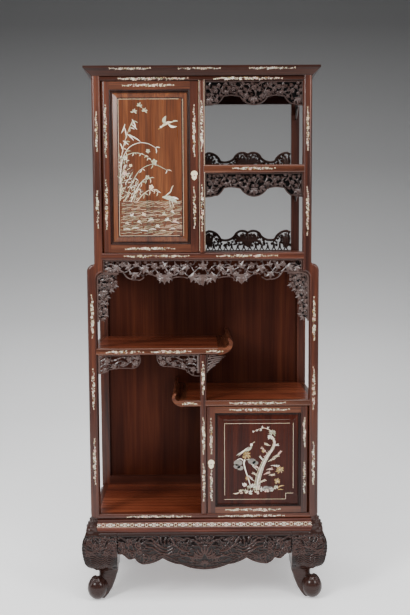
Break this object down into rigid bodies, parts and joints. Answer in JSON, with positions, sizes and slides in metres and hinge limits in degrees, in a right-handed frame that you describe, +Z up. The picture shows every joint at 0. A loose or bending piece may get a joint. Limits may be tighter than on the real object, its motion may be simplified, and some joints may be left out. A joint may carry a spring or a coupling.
{
  "type": "book cabinet",
  "caption": "Tall asymmetric book and display cabinet with framed doors, open shelves with scrolled ends, pierced carved aprons and shell inlay, on a carved stand with cabriole legs.",
  "frame": {"origin": "on the floor under the middle of the cabinet", "axes": "+Z up, +X to the right seen from the front, the front faces -Y"},
  "size_m": [0.8882, 0.4752, 1.908],
  "materials": {
    "rosewood_frame": "polished reddish brown with shell inlay",
    "rosewood_board": "polished dark red brown",
    "rosewood_door_panel": "polished, straight grain, shell inlay",
    "rosewood_carved": "carved, satin",
    "shell": "mother-of-pearl",
    "brass": "aged"
  },
  "bodies": {
    "root": {"bottom_rails": "rosewood_frame", "centre_post_lower": "rosewood_frame", "centre_posts_upper": "rosewood_frame", "cornice": "rosewood_frame", "low_shelf_rails": "rosewood_frame", "mid_shelf_rails": "rosewood_frame", "display_shelf_rails": "rosewood_frame", "sill_rails": "rosewood_frame", "top_rails": "rosewood_frame", "stand_top_frame": "rosewood_frame", "lower_post_front_left": "rosewood_frame", "lower_post_front_right": "rosewood_frame", "lower_post_back_left": "rosewood_frame", "lower_post_back_right": "rosewood_frame", "upper_post_front_left": "rosewood_frame", "upper_post_front_right": "rosewood_frame", "upper_post_back_left": "rosewood_frame", "upper_post_back_right": "rosewood_frame", "deck_board": "rosewood_board", "display_shelf_board": "rosewood_board", "floor_board": "rosewood_board", "inner_shelf": "rosewood_board", "inner_shelf_bearers": "rosewood_board", "low_shelf_board": "rosewood_board", "mid_shelf_board": "rosewood_board", "stand_top_board": "rosewood_board", "top_board": "rosewood_board", "lower_back_panel": "rosewood_board", "lower_partition": "rosewood_board", "lower_side_panel": "rosewood_board", "upper_back_panel": "rosewood_board", "upper_partition": "rosewood_board", "upper_side_panel": "rosewood_board", "canopy_apron": "rosewood_carved", "canopy_spandrels": "rosewood_carved", "mid_shelf_aprons": "rosewood_carved", "lower_side_aprons": "rosewood_carved", "display_aprons": "rosewood_carved", "display_galleries": "rosewood_carved", "display_side_aprons": "rosewood_carved", "stand_apron_front": "rosewood_carved", "stand_apron_back": "rosewood_carved", "stand_apron_sides": "rosewood_carved", "leg_front_left": "rosewood_carved", "leg_front_right": "rosewood_carved", "leg_back_left": "rosewood_carved", "leg_back_right": "rosewood_carved", "door_pivot_pins": "brass"},
    "upper_door": {"upper_door_stiles": "rosewood_frame", "upper_door_rails": "rosewood_frame", "upper_door_panel": "rosewood_door_panel", "upper_escutcheon": "shell", "upper_lock_case": "brass"},
    "lower_door": {"lower_door_stiles": "rosewood_frame", "lower_door_rails": "rosewood_frame", "lower_door_panel": "rosewood_door_panel", "lower_escutcheon": "shell", "lower_lock_case": "brass"},
    "upper_bolt": {"upper_lock_bolt": "brass"},
    "lower_bolt": {"lower_lock_bolt": "brass"}
  },
  "joints": [
    {"name": "upper_door_hinge", "type": "hinge", "parent": "root", "child": "upper_door", "pos_m": [-0.3405, -0.189, 1.5625], "axis": [0, 0, -1], "range_deg": [0, 95]},
    {"name": "lower_door_hinge", "type": "hinge", "parent": "root", "child": "lower_door", "pos_m": [0.365, -0.189, 0.516], "axis": [0, 0, 1], "range_deg": [0, 95]},
    {"name": "upper_bolt_slide", "type": "slide", "parent": "upper_door", "child": "upper_bolt", "axis": [1, 0, 0], "range_m": [0, 0.006]},
    {"name": "lower_bolt_slide", "type": "slide", "parent": "lower_door", "child": "lower_bolt", "axis": [-1, 0, 0], "range_m": [0, 0.006]}
  ]
}
